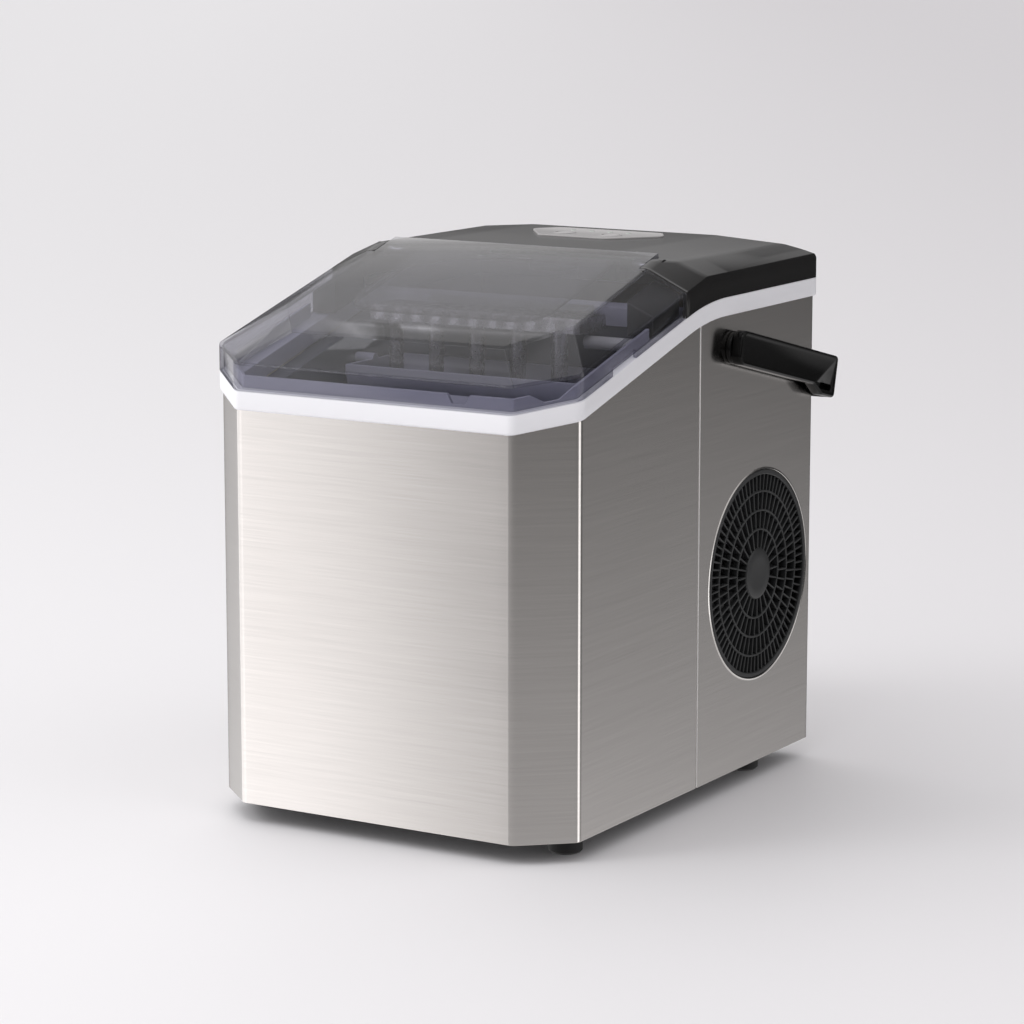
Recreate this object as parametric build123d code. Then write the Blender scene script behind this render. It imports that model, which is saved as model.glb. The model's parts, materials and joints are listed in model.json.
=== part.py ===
from build123d import *
import math
import os

# Countertop ice maker. Millimetres, +Z up, +X to the right seen from the front, front towards -Y.
# Everything is drawn about the middle of the steel body; save() then moves it by ORIGIN_SHIFT_Y, so
# that the origin ends up under the centre of the overall box, on the surface the feet stand on.

# ---- driving dimensions ----
BODY_W = 222.0
BODY_D = 289.2
CHAMFER_X = 26.5
CHAMFER_Y = 23.3
FRONT_CORNER_R = 6.0
REAR_CORNER_R = 2.5
BODY_BOTTOM = 11.0
BASE_FLOOR_TOP = 13.5
BASE_RIM_TOP = 22.0
FRONT_TOP = 236.2
TOP_SLOPE = 0.271
REAR_TOP = 279.0
BEND_R = 165.0
SHEET = 0.8
SEAM_Y = 8.0
SEAM_GAP = 0.8
TRIM_H = 10.6
TRIM_PROUD = 1.85
SHELL_PROUD = 1.8
LID_WALL = 2.2
COVER_WALL = 2.4
ORIGIN_SHIFT_Y = -5.93

HINGE_Y = 3.0
HINGE_Z = 297.0
HINGE_SWEEP = 8.6
PIN_R = 1.5
EAR_X = 84.5
EAR_FRONT = -11.6
LID_REAR = -12.6

LINER_X = 84.0
LINER_FRONT = -124.0
DECK_FRONT = -108.0
LINER_FLOOR = 60.0
TRAY_Y = -30.0
TRAY_Z = 240.0
TRAY_R = 26.0
FINGER_R = 4.0
FINGER_PITCH = 26.0

FAN_Y = 79.2
FAN_Z = 118.6
VENT_R = 58.9

PIVOT_Y = 45.5
PIVOT_Z = 250.0
PIVOT_R = 4.0
HANDLE_TILT = -13.6
HANDLE_TOP = 9.5
HANDLE_HEEL = -14.5
HEEL_LENGTH = 16.0
HEEL_RAMP = 12.0
HANDLE_FRONT = -7.5
GRIP_INNER = 108.3
GRIP_OUTER = 114.3
ARM_INNER = 114.1
ARM_OUTER = 120.5

HALF_W = BODY_W / 2
HALF_D = BODY_D / 2
FAR = 400.0


def save(name, shape):
    """Writes one sub-part in the row's own frame."""
    export_step(Pos(0, ORIGIN_SHIFT_Y, 0) * shape, "parts/" + name + ".step")


# ---- shared shapes ----
def span(x0, x1, y0, y1, z0, z1):
    """A block between two corners."""
    centre = Pos((x0 + x1) / 2, (y0 + y1) / 2, (z0 + z1) / 2)
    return centre * Box(x1 - x0, y1 - y0, z1 - z0)


def rod_x(x0, x1, y, z, r):
    """A round bar along X."""
    return Pos((x0 + x1) / 2, y, z) * Rot(0, 90, 0) * Cylinder(r, x1 - x0)


def rod_z(x, y, z0, z1, r):
    """A round bar along Z."""
    return Pos(x, y, (z0 + z1) / 2) * Cylinder(r, z1 - z0)


def outline(grow):
    """The body's plan, with chamfered front corners, grown outwards."""
    angle = math.atan2(CHAMFER_Y, CHAMFER_X)
    x_front = HALF_W - CHAMFER_X + grow * math.tan(angle / 2)
    y_side = -HALF_D + CHAMFER_Y - grow * math.tan((math.pi / 2 - angle) / 2)
    x_out = HALF_W + grow
    y_out = HALF_D + grow
    corners = [(-x_out, y_out), (x_out, y_out), (x_out, y_side), (x_front, -y_out)]
    corners += [(-x_front, -y_out), (-x_out, y_side)]
    face = make_face(Polyline(*corners, close=True))
    rear = face.vertices().filter_by(lambda v: v.Y > 0)
    face = fillet(rear, max(REAR_CORNER_R + grow, 1.0))
    front = face.vertices().filter_by(lambda v: v.Y < 0)
    return fillet(front, max(FRONT_CORNER_R + grow, 1.0))


def prism(grow, z0, z1):
    return extrude(Pos(0, 0, z0) * outline(grow), z1 - z0)


def under(lift):
    """Everything below the body's top line, seen from the side, raised by lift."""
    y_start = -HALF_D - 30
    y_bend = -HALF_D + (REAR_TOP - FRONT_TOP) / TOP_SLOPE
    z_start = FRONT_TOP - 30 * TOP_SLOPE
    points = [(y_start, -50), (y_start, z_start + lift), (y_bend, REAR_TOP + lift)]
    points += [(HALF_D + 60, REAR_TOP + lift), (HALF_D + 60, -50)]
    face = make_face(Polyline(*points, close=True))
    bend = face.vertices().filter_by(lambda v: abs(v.X - y_bend) < 1)
    face = fillet(bend, BEND_R)
    return extrude(Plane.YZ * face, 250, both=True)


def band(low, high):
    return under(high) - under(low)


def below(origin, normal, depth=0.0):
    """A large block whose top lies on a plane, lowered by depth along the plane's normal."""
    unit = Vector(*normal).normalized()
    at = Vector(*origin) - unit * depth
    block = Box(900, 900, FAR, align=(Align.CENTER, Align.CENTER, Align.MAX))
    return Plane(origin=at, z_dir=unit) * block


def roof(planes, depth):
    shape = None
    for origin, normal in planes:
        block = below(origin, normal, depth)
        shape = block if shape is None else shape & block
    return shape


PLATEAU = ((0, -118, 268), (0, -0.2784, 1))
LID_PLANES = [PLATEAU, ((0, -146.4, 251), (0, -0.6426, 1))]
COVER_PLANES = [PLATEAU, ((0, 12, 303.2), (0, 0.0108, 1))]
COVER_PLANES += [((0, 123, 301.9), (0, 0.486, 1)), ((0, 146.4, 287.6), (0, 0.88, 1))]
for side in (-1, 1):
    LID_PLANES.append(((side * 112.8, -55, 274.5), (side * 0.462, -TOP_SLOPE, 1)))
    LID_PLANES.append(((side * 86.3, -146.4, 251), (side * 0.226, -0.456, 1)))
    COVER_PLANES.append(((side * 60, 12, 303.2), (side * 0.089, 0.0108, 1)))
    COVER_PLANES.append(((side * 112.8, 80, 292.5), (side * 0.424, 0, 1)))
    COVER_PLANES.append(((side * 112.8, -12, 286.2), (side * 0.47, -TOP_SLOPE, 1)))


def tube(points, radius, bend):
    """A round tube's solid along straight runs joined by arcs."""
    path = FilletPolyline(*points, radius=bend)
    start = Plane(origin=path @ 0, z_dir=path % 0)
    return sweep(start * Circle(radius), path=path)


# ---- base ----
def base_pan():
    floor = prism(-1.0, BODY_BOTTOM, BASE_FLOOR_TOP)
    rim = prism(-1.0, BASE_FLOOR_TOP, BASE_RIM_TOP) - prism(-2.5, BASE_FLOOR_TOP, BASE_RIM_TOP)
    return floor + rim - rod_z(-56, -113, 0, 30, 5.0)


FOOT_PLACES = {"front_left": (-93, -104), "front_right": (93, -104)}
FOOT_PLACES.update({"rear_left": (-92, 99), "rear_right": (92, 99)})


def foot(x, y):
    pad = rod_z(x, y, 0, BODY_BOTTOM, 9)
    return chamfer(pad.edges().group_by(Axis.Z)[0], 1.2)


def drain_plug():
    cap = rod_z(-56, -113, 3, BODY_BOTTOM, 9.5)
    cap = chamfer(cap.edges().group_by(Axis.Z)[0], 1.0)
    return cap + rod_z(-56, -113, BODY_BOTTOM, 26, 4.4)


def drain_tube():
    outside = rod_z(-56, -113, 13.5, LINER_FLOOR, 6.5)
    return outside - rod_z(-56, -113, 13.5, LINER_FLOOR, 4.5)


# ---- steel wraps and trim ----
def wrap_shell():
    shell = prism(0, BODY_BOTTOM, 300) - prism(-SHEET, 0, 301)
    return shell & under(-TRIM_H)


def seam_hem(y0, y1):
    hem = (prism(0, BODY_BOTTOM, 300) - prism(-5, 0, 301)) & under(-TRIM_H)
    return hem & span(-FAR, FAR, y0, y1, BASE_RIM_TOP + 0.3, FAR)


def front_wrap():
    edge = SEAM_Y - SEAM_GAP / 2
    shell = wrap_shell() & span(-FAR, FAR, -FAR, edge, 0, FAR)
    return shell + seam_hem(edge - SHEET, edge)


SCREW_PLACES = [(-98, 40), (98, 40), (-98, 200), (98, 200), (0, 252), (0, 24)]


def rear_wrap():
    edge = SEAM_Y + SEAM_GAP / 2
    shell = wrap_shell() & span(-FAR, FAR, edge, FAR, 0, FAR)
    shell += seam_hem(edge, edge + SHEET)
    shell -= rod_x(90, 130, FAN_Y, FAN_Z, VENT_R)
    for row in range(11):
        z = 60 + row * 11.5
        slot = span(-130, -90, 39.2, 119.2, z - 2.2, z + 2.2)
        shell -= slot
    for side in (-1, 1):
        shell -= rod_x(*sorted((side * 100, side * 130)), PIVOT_Y, PIVOT_Z, 5.0)
    for x, z in SCREW_PLACES:
        shell -= Pos(x, HALF_D, z) * Rot(90, 0, 0) * Cylinder(1.6, 10)
    shell -= Pos(-72, HALF_D, 40) * Rot(90, 0, 0) * Cylinder(7.0, 10)
    return shell


def case_screws():
    screws = []
    for x, z in SCREW_PLACES:
        head = Pos(x, HALF_D + 0.6, z) * Rot(90, 0, 0) * Cylinder(3.2, 1.2)
        shank = Pos(x, HALF_D - 2.5, z) * Rot(90, 0, 0) * Cylinder(1.5, 5.0)
        recess = Pos(x, HALF_D + 1.0, z) * (Box(3.6, 0.8, 0.8) + Box(0.8, 0.8, 3.6))
        screws.append(head + shank - recess)
    return Compound(children=screws)


def cord_gland():
    place = Pos(-72, HALF_D, 40) * Rot(90, 0, 0)
    outside = Pos(0, 0, -2.5) * Cylinder(10, 4) + Cylinder(6.9, 9)
    inside = Pos(0, 0, 3.2) * Cylinder(10, 3)
    gland = place * (outside + Pos(0, 0, 0.3) * inside - Cylinder(3.5, 40))
    return gland - span(-FAR, FAR, HALF_D - SHEET, HALF_D, 0, FAR) + place * core_ring()


def core_ring():
    return Pos(0, 0, SHEET / 2) * (Cylinder(6.9, SHEET) - Cylinder(3.5, SHEET))


def trim_frame():
    ring = prism(TRIM_PROUD, 200, 300) - prism(-3, 190, 310)
    ledge = prism(-3, 200, 300) - prism(-12, 190, 310)
    return (ring & band(-TRIM_H, 0)) + (ledge & band(-8, -5))


# ---- top cover and controls ----
def cover_region(inset):
    ears = span(EAR_X + inset, FAR, EAR_FRONT + inset, 40, 200, FAR)
    region = ears + span(-FAR, -EAR_X - inset, EAR_FRONT + inset, 40, 200, FAR)
    middle = 9.3 if inset == 0 else 9.3 + 2.0 * inset
    return region + span(-FAR, FAR, middle, FAR, 200, FAR)


def plaque_prism():
    """Rounded six-sided plate, widest near its rear edge, standing tall for cutting."""
    corners = [(-22, 62), (22, 62), (43, 91), (34, 107), (-34, 107), (-43, 91)]
    face = make_face(Polyline(*corners, close=True))
    face = fillet(face.vertices(), 7)
    return extrude(Pos(0, 0, 290) * face, 30)


BUTTON_PLACES = {"power_button": -15.0, "select_button": 15.0}
BUTTON_Y = 80.0
BUTTON_R = 5.0
LENS_Y = 95.0
LENS_R = 1.5
LENS_X = (-18.0, -6.0, 6.0, 18.0)
COVER_TOP = [COVER_PLANES[1]]


def top_cover():
    outside = (prism(SHELL_PROUD, 230, 320) & roof(COVER_PLANES, 0)) - under(0)
    outside = outside & cover_region(0)
    sweep_space = rod_x(-EAR_X, EAR_X, HINGE_Y, HINGE_Z, HINGE_SWEEP + 0.5)
    outside -= sweep_space
    hollow = prism(SHELL_PROUD - COVER_WALL, 220, 330) & roof(COVER_PLANES, COVER_WALL)
    shell = outside - (hollow & cover_region(COVER_WALL))
    for x in (-50, 50):
        for y in (88, 124):
            shell += rod_z(x, y, 291.6, 300.0, 3)
    for side in (-1, 1):
        tongue = prism(-3.8, 230, 320) & roof(LID_PLANES, 4.5)
        tongue = tongue - under(0)
        tongue = tongue & span(*sorted((side * 92, side * 112)), -40, EAR_FRONT, 200, 320)
        shell += tongue
        shell -= rod_x(*sorted((side * 80, side * 92)), HINGE_Y, HINGE_Z, PIN_R + 0.06)
    for x in BUTTON_PLACES.values():
        shell -= rod_z(x, BUTTON_Y, 290, 320, BUTTON_R + 0.3)
    return shell


def control_panel():
    plate = plaque_prism() & roof(COVER_TOP, -0.8)
    plate -= roof(COVER_TOP, 0)
    for x in BUTTON_PLACES.values():
        plate -= rod_z(x, BUTTON_Y, 290, 320, BUTTON_R + 0.3)
    for x in LENS_X:
        plate -= rod_z(x, LENS_Y, 290, 320, LENS_R + 0.06)
    return plate


def button(x):
    return rod_z(x, BUTTON_Y, 297.5, 304, BUTTON_R) & roof(COVER_TOP, -1.0)


def indicator_lenses():
    lenses = []
    for x in LENS_X:
        lens = rod_z(x, LENS_Y, 290, 320, LENS_R) & roof(COVER_TOP, -0.9)
        lenses.append(lens - roof(COVER_TOP, 0))
    return Compound(children=lenses)


def control_board():
    board = span(-58, 58, 70, 132, 290, 291.6)
    for x in BUTTON_PLACES.values():
        board += span(x - 3, x + 3, BUTTON_Y - 3, BUTTON_Y + 3, 291.6, 295.8)
    board += span(-50, -30, 100, 120, 278, 290)
    board += span(-20, 5, 104, 126, 274, 290)
    board += span(15, 40, 90, 102, 282, 290)
    for x in LENS_X:
        board += rod_z(x, LENS_Y, 291.6, 296, 1.2)
    return board


# ---- lid ----
def lid():
    outside = (prism(SHELL_PROUD, 200, 320) & roof(LID_PLANES, 0)) - under(0.3)
    inside = prism(SHELL_PROUD - LID_WALL, 190, 330) & roof(LID_PLANES, LID_WALL)
    shell = outside - inside
    keep = span(-FAR, FAR, -FAR, LID_REAR, 150, FAR)
    keep += span(-EAR_X + 0.6, EAR_X - 0.6, LID_REAR, HINGE_Y, 150, FAR)
    round_end = rod_x(-EAR_X + 0.6, EAR_X - 0.6, HINGE_Y, HINGE_Z, HINGE_SWEEP)
    keep += round_end & span(-FAR, FAR, HINGE_Y, FAR, 0, FAR)
    shell = shell & keep
    for side in (-1, 1):
        grip = span(*sorted((side * 105, side * 118)), -91, -66, 200, 320)
        shell -= grip & band(-10, 4.5)
        barrel = rod_x(*sorted((side * 72, side * (EAR_X - 0.6))), HINGE_Y, HINGE_Z, 3.4)
        shell += barrel
        shell -= rod_x(*sorted((side * 70, side * 90)), HINGE_Y, HINGE_Z, PIN_R + 0.06)
    return shell


def hinge_pins():
    pins = [rod_x(*sorted((side * 76, side * 91)), HINGE_Y, HINGE_Z, PIN_R) for side in (-1, 1)]
    return Compound(children=pins)


# ---- cold compartment ----
def inner_liner():
    tub = span(-LINER_X - 2, LINER_X + 2, LINER_FRONT - 2, 2, LINER_FLOOR, FAR) & under(-1)
    flange = prism(-3.3, 200, 320) & band(-4, -1)
    flange = flange & span(-FAR, FAR, -FAR, 9, 0, FAR)
    hollow = span(-LINER_X, LINER_X, LINER_FRONT, 0, LINER_FLOOR + 2, FAR) & under(-4)
    mouth = span(-LINER_X, LINER_X, DECK_FRONT, 0, LINER_FLOOR + 2, FAR)
    liner = tub + flange - hollow - mouth
    lip = (prism(-3.3, 200, 320) - prism(-5.3, 190, 330)) & band(-1, 6.5)
    liner += lip & span(-FAR, FAR, -FAR, -41, 0, FAR)
    for side in (-1, 1):
        liner += span(*sorted((side * 74, side * LINER_X)), -108, -62, 110, 118)
        hole = rod_x(*sorted((side * 80, side * 92)), TRAY_Y, TRAY_Z, 3.06)
        liner -= hole
    liner -= rod_x(80, 92, TRAY_Y, 258.5, 3.6)
    for x, r in ((20, 1.7), (-30, 3.2), (0, 2.2)):
        liner -= Pos(x, 1, 266) * Rot(90, 0, 0) * Cylinder(r, 6)
    liner -= rod_z(-56, -113, 50, 70, 4.5)
    liner -= rod_z(60, -70, 50, 70, 3.0)
    return liner


def foam_insulation():
    block = (prism(-2.5, 30, 300) & under(-12)) & span(-FAR, FAR, -FAR, -62, 64, FAR)
    return block - span(-LINER_X - 2.3, LINER_X + 2.3, LINER_FRONT - 2.3, 10, 0, FAR)


def bulkhead():
    return span(-105, 105, 2.5, 6.4, 13.5, 258)


def ice_basket():
    box = span(-78, 78, -106, -62, 118, 228)
    basket = box - span(-76, 76, -104, -64, 120, FAR)
    for column in range(9):
        x = -64 + column * 16
        basket -= span(x - 1.6, x + 1.6, -98, -70, 100, 130)
        basket -= span(x - 1.6, x + 1.6, -120, -50, 135, 205)
    return basket


def water_tray():
    outer_r = TRAY_R + 1.6
    ring = rod_x(-74, 74, TRAY_Y, TRAY_Z, outer_r) - rod_x(-72, 72, TRAY_Y, TRAY_Z, TRAY_R)
    trough = ring & span(-FAR, FAR, -FAR, FAR, 0, TRAY_Z)
    trough += rod_x(-95, -72, TRAY_Y, TRAY_Z, 3.0) + rod_x(72, 87, TRAY_Y, TRAY_Z, 3.0)
    return trough


def tray_motor():
    motor = span(-104, -87, TRAY_Y - 14, TRAY_Y + 14, 222, 251)
    motor += rod_x(-107, -104, TRAY_Y, 234, 10)
    return motor - rod_x(-96, -80, TRAY_Y, TRAY_Z, 3.06)


def finger_places():
    front = [(x * FINGER_PITCH, TRAY_Y - 10) for x in (-2, -1, 0, 1, 2)]
    rear = [((x + 0.5) * FINGER_PITCH, TRAY_Y + 10) for x in (-2, -1, 0, 1)]
    return front + rear


def evaporator():
    plate = span(-66, 66, TRAY_Y - 15, TRAY_Y + 15, 264, 272)
    return fillet(plate.edges().filter_by(Axis.X), 2.5)


def evaporator_fingers():
    fingers = []
    for x, y in finger_places():
        stem = rod_z(x, y, 230, 264, FINGER_R)
        fingers.append(stem + Pos(x, y, 230) * Sphere(FINGER_R))
    return Compound(children=fingers)


def evaporator_bracket():
    plate = span(-50, 50, TRAY_Y - 12, 0, 272, 274) & under(0)
    return plate + (span(-50, 50, -1.5, 0, 262, 273) - span(-34, 24, -2, 1, 255, 270))


# ---- water circuit ----
def water_pump():
    body = rod_z(60, -70, 13.5, 44, 16) + rod_z(60, -70, 44, LINER_FLOOR, 5)
    body -= rod_z(60, -70, 30, LINER_FLOOR, 3)
    return body + rod_x(70, 82, -70, 26, 4)


def pump_hose():
    points = [(82, -70, 26), (97, -70, 26), (97, TRAY_Y, 26)]
    points += [(97, TRAY_Y, 258.5), (62, TRAY_Y, 258.5)]
    return tube(points, 3.5, 9)


def float_stem():
    return rod_z(66, -20, LINER_FLOOR + 2, 104, 2) + rod_z(66, -20, 104, 106, 4)


def float_ball():
    ball = rod_z(66, -20, 62.3, 76, 8)
    ball = fillet(ball.edges(), 3)
    return ball - rod_z(66, -20, 50, 90, 2.08)


# ---- refrigeration ----
COMP_X = -52.0
COMP_Y = 78.0


def compressor():
    can = rod_z(COMP_X, COMP_Y, 28, 150, 46)
    can = fillet(can.edges(), 19)
    plate = span(COMP_X - 44, COMP_X + 44, COMP_Y - 44, COMP_Y + 44, 26, 29)
    plate += rod_z(COMP_X, COMP_Y, 26, 40, 30)
    stubs = rod_z(-30, 60, 135, 156, 4) + rod_z(-75, 60, 135, 156, 4)
    return can + plate + stubs


def compressor_mounts():
    mounts = []
    for x in (-37, 37):
        for y in (-37, 37):
            mounts.append(rod_z(COMP_X + x, COMP_Y + y, 13.5, 26, 7))
    return Compound(children=mounts)


def compressor_relay():
    return span(COMP_X + 46.3, COMP_X + 62, COMP_Y - 16, COMP_Y + 16, 70, 104)


def condenser():
    core = span(40, 62, 26, 132, 62, 176)
    plates = span(38, 64, 24, 26, 60, 178) + span(38, 64, 132, 134, 60, 178)
    for level in range(18):
        z = 66 + level * 6.2
        core -= span(30, 44, 28, 130, z, z + 3.1)
        core -= span(58, 70, 28, 130, z, z + 3.1)
    return core + plates + rod_z(51, 60, 174, 178, 4)


def fan_rotor():
    hub = rod_x(86, 100, FAN_Y, FAN_Z, 16)
    for blade in range(7):
        angle = blade * 360 / 7
        plate = Pos(93, 0, 31) * Rot(0, 0, 32) * Box(1.6, 22, 40)
        hub += Pos(0, FAN_Y, FAN_Z) * Rot(angle, 0, 0) * plate
    return hub - rod_x(80, 98, FAN_Y, FAN_Z, 2.05)


def fan_motor():
    return rod_x(68, 83.5, FAN_Y, FAN_Z, 17) + rod_x(83.5, 97, FAN_Y, FAN_Z, 2.0)


def fan_bracket():
    plate = rod_x(65.5, 68, FAN_Y, FAN_Z, 17)
    plate += span(65.5, 68, FAN_Y - 58, FAN_Y + 58, FAN_Z - 6, FAN_Z + 6)
    for side in (-1, 1):
        y_low, y_high = sorted((FAN_Y + side * 56, FAN_Y + side * 59))
        plate += span(65.5, 84, y_low, y_high, FAN_Z - 6, FAN_Z + 6)
    return plate


def fan_shroud():
    frame = span(84, 104, FAN_Y - 60, FAN_Y + 60, FAN_Z - 60, FAN_Z + 60)
    return frame - rod_x(80, 110, FAN_Y, FAN_Z, 54)


GRILLE_RINGS = (25.0, 35.7, 46.4)


def vent_grille():
    grille = rod_x(106.4, 109.6, FAN_Y, FAN_Z, 60.4) - rod_x(100, 120, FAN_Y, FAN_Z, 55.9)
    grille += rod_x(106.6, 111.6, FAN_Y, FAN_Z, 58.6) - rod_x(100, 120, FAN_Y, FAN_Z, 55.9)
    for radius in GRILLE_RINGS:
        ring = rod_x(107.4, 111.0, FAN_Y, FAN_Z, radius + 0.6)
        grille += ring - rod_x(100, 120, FAN_Y, FAN_Z, radius - 0.6)
    grille += rod_x(107.4, 111.6, FAN_Y, FAN_Z, 14.4)
    for spoke in range(24):
        bar = Pos(109.2, 0, 35.5) * Box(3.6, 1.2, 43)
        grille += Pos(0, FAN_Y, FAN_Z) * Rot(spoke * 15, 0, 0) * bar
    return grille


def filter_drier():
    return fillet(rod_z(20, 120, 84, 140, 8).edges(), 3)


def liquid_tube():
    return tube([(38, 120, 70), (20, 120, 70), (20, 120, 84)], 2.0, 6)


def discharge_tube():
    points = [(-30, 60, 156), (-30, 60, 195), (51, 60, 195), (51, 60, 178)]
    return tube(points, 2.5, 8)


def suction_tube():
    points = [(-30, -15, 266), (-30, 24, 266), (-30, 24, 182), (-75, 24, 182)]
    points += [(-75, 60, 182), (-75, 60, 156)]
    return tube(points, 3.0, 9)


def capillary_tube():
    points = [(20, 120, 140), (20, 120, 228), (20, 20, 228), (20, 20, 266), (20, -15, 266)]
    return tube(points, 1.5, 8)


def hot_gas_tube():
    points = [(0, 60, 197.6), (0, 60, 242), (0, 22, 242), (0, 22, 266), (0, -15, 266)]
    return tube(points, 2.0, 8)


def hot_gas_valve():
    body = span(-9, 9, 51, 69, 208, 224) + rod_z(0, 60, 224, 230, 6)
    body += span(-30, -9, 52, 68, 206, 226)
    return body - rod_z(0, 60, 190, 240, 2.05)


# ---- carrying handle ----
def handle_place():
    """The handle's own plane: along its length from the pivot, tilted down towards the rear."""
    return Pos(0, PIVOT_Y, PIVOT_Z) * Rot(HANDLE_TILT, 0, 0)


def arm_profile():
    """An arm from the side: a straight bar that grows a heel where it meets the grip."""
    corners = [(HANDLE_FRONT, HANDLE_TOP), (GRIP_OUTER, HANDLE_TOP), (GRIP_OUTER, HANDLE_HEEL)]
    heel = GRIP_OUTER - HEEL_LENGTH
    corners += [(heel, HANDLE_HEEL), (heel - HEEL_RAMP, -HANDLE_TOP), (HANDLE_FRONT, -HANDLE_TOP)]
    face = make_face(Polyline(*corners, close=True))
    front = face.vertices().filter_by(lambda v: v.X < 0)
    face = fillet(front, 5.5)
    rear = face.vertices().filter_by(lambda v: v.X > heel - HEEL_RAMP - 1)
    return fillet(rear, 2.5)


def handle_arm(side):
    x0, x1 = sorted((side * ARM_INNER, side * ARM_OUTER))
    arm = Pos(x0, 0, 0) * extrude(Plane.YZ * arm_profile(), x1 - x0)
    arm = handle_place() * arm
    outer_edges = arm.edges().filter_by(Axis.X, reverse=True).group_by(Axis.X)[-1 if side > 0 else 0]
    arm = chamfer(outer_edges, 1.0)
    return arm - rod_x(*sorted((side * 110, side * (ARM_OUTER - 2.4))), PIVOT_Y, PIVOT_Z, PIVOT_R + 0.06)


def handle_grip():
    section = Pos((GRIP_INNER + GRIP_OUTER) / 2, (HANDLE_TOP + HANDLE_HEEL) / 2)
    section = section * RectangleRounded(GRIP_OUTER - GRIP_INNER, HANDLE_TOP - HANDLE_HEEL, 2.5)
    grip = Pos(-ARM_INNER, 0, 0) * extrude(Plane.YZ * section, 2 * ARM_INNER)
    grip -= Pos(0, (GRIP_INNER + GRIP_OUTER) / 2, HANDLE_HEEL) * Box(150, 3.2, 18)
    return handle_place() * grip


def handle_boss(side):
    disc = rod_x(*sorted((side * HALF_W, side * 113.8)), PIVOT_Y, PIVOT_Z, 9)
    pin = rod_x(*sorted((side * 113, side * (ARM_OUTER - 2.7))), PIVOT_Y, PIVOT_Z, PIVOT_R)
    stem = rod_x(*sorted((side * 104, side * 112)), PIVOT_Y, PIVOT_Z, 4.9)
    return disc + pin + stem


SINGLE_PARTS = [
    base_pan, drain_plug, drain_tube, front_wrap, rear_wrap, case_screws, cord_gland, trim_frame,
    top_cover, control_panel, indicator_lenses, control_board, lid, hinge_pins, inner_liner,
    foam_insulation, bulkhead, ice_basket, water_tray, tray_motor, evaporator, evaporator_fingers,
    evaporator_bracket, water_pump, pump_hose, float_stem, float_ball, compressor, compressor_mounts,
    compressor_relay, condenser, fan_rotor, fan_motor, fan_bracket, fan_shroud, vent_grille,
    filter_drier, liquid_tube, discharge_tube, suction_tube, capillary_tube, hot_gas_tube,
    hot_gas_valve, handle_grip,
]


def main():
    os.makedirs("parts", exist_ok=True)
    for part in SINGLE_PARTS:
        save(part.__name__, part())
    for name, (x, y) in FOOT_PLACES.items():
        save("foot_" + name, foot(x, y))
    for name, x in BUTTON_PLACES.items():
        save(name, button(x))
    for name, side in (("left", -1), ("right", 1)):
        save("handle_arm_" + name, handle_arm(side))
        save("handle_boss_" + name, handle_boss(side))


main()
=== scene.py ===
import json
import math

import bmesh
import bpy
from mathutils import Matrix, Vector


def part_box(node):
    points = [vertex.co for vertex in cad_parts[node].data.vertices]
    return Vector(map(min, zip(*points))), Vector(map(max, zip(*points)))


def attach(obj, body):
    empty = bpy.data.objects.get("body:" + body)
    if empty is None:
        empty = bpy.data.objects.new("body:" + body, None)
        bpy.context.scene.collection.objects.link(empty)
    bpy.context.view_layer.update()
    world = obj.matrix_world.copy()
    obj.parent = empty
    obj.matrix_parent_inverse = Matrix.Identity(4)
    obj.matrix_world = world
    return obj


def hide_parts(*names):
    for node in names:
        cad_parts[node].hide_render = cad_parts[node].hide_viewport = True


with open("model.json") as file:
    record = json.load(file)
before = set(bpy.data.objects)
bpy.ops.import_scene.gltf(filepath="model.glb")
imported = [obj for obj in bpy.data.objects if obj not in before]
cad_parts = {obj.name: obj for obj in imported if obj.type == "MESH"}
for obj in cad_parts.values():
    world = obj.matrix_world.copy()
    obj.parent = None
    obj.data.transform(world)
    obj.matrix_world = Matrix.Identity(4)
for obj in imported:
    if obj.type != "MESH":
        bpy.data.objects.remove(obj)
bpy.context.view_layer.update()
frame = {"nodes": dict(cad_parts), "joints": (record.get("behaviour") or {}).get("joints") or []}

# Shapes are drawn in millimetres about the middle of the steel body, +Z up and the front towards -Y.
# TO_ROW turns them into the frame's metres.
MM = 0.001
WRAP_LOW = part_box("front_wrap")[0]
WRAP_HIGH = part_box("rear_wrap")[1]
SHIFT_Y = (WRAP_LOW.y + WRAP_HIGH.y) / 2
TO_ROW = Matrix.Translation((0, SHIFT_Y, 0)) @ Matrix.Scale(MM, 4)
HALF_W = WRAP_HIGH.x / MM
HALF_D = (WRAP_HIGH.y - WRAP_LOW.y) / 2 / MM


def joint_place(name):
    """Where a joint's axis passes, in body millimetres."""
    for joint in frame["joints"]:
        if joint["name"] == name:
            x, y, z = joint["pos_m"]
            return Vector((x, y - SHIFT_Y, z)) / MM
    raise ValueError(name)


def node_box(name):
    """A CAD node's lowest and highest corners, in body millimetres."""
    shift = Vector((0, SHIFT_Y, 0))
    return [(corner - shift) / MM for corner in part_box(name)]


HINGE = joint_place("lid_hinge")
FAN = joint_place("fan_spin")

# ---- the body's plan and its top line ----
CHAMFER_X = 26.5
CHAMFER_Y = 23.3
FRONT_CORNER_R = 6.0
REAR_CORNER_R = 2.5
FRONT_TOP = 236.2
TOP_SLOPE = 0.271
REAR_TOP = 279.0
BEND_R = 165.0
SHELL_PROUD = 1.8
ARC_STEPS = 10


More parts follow.
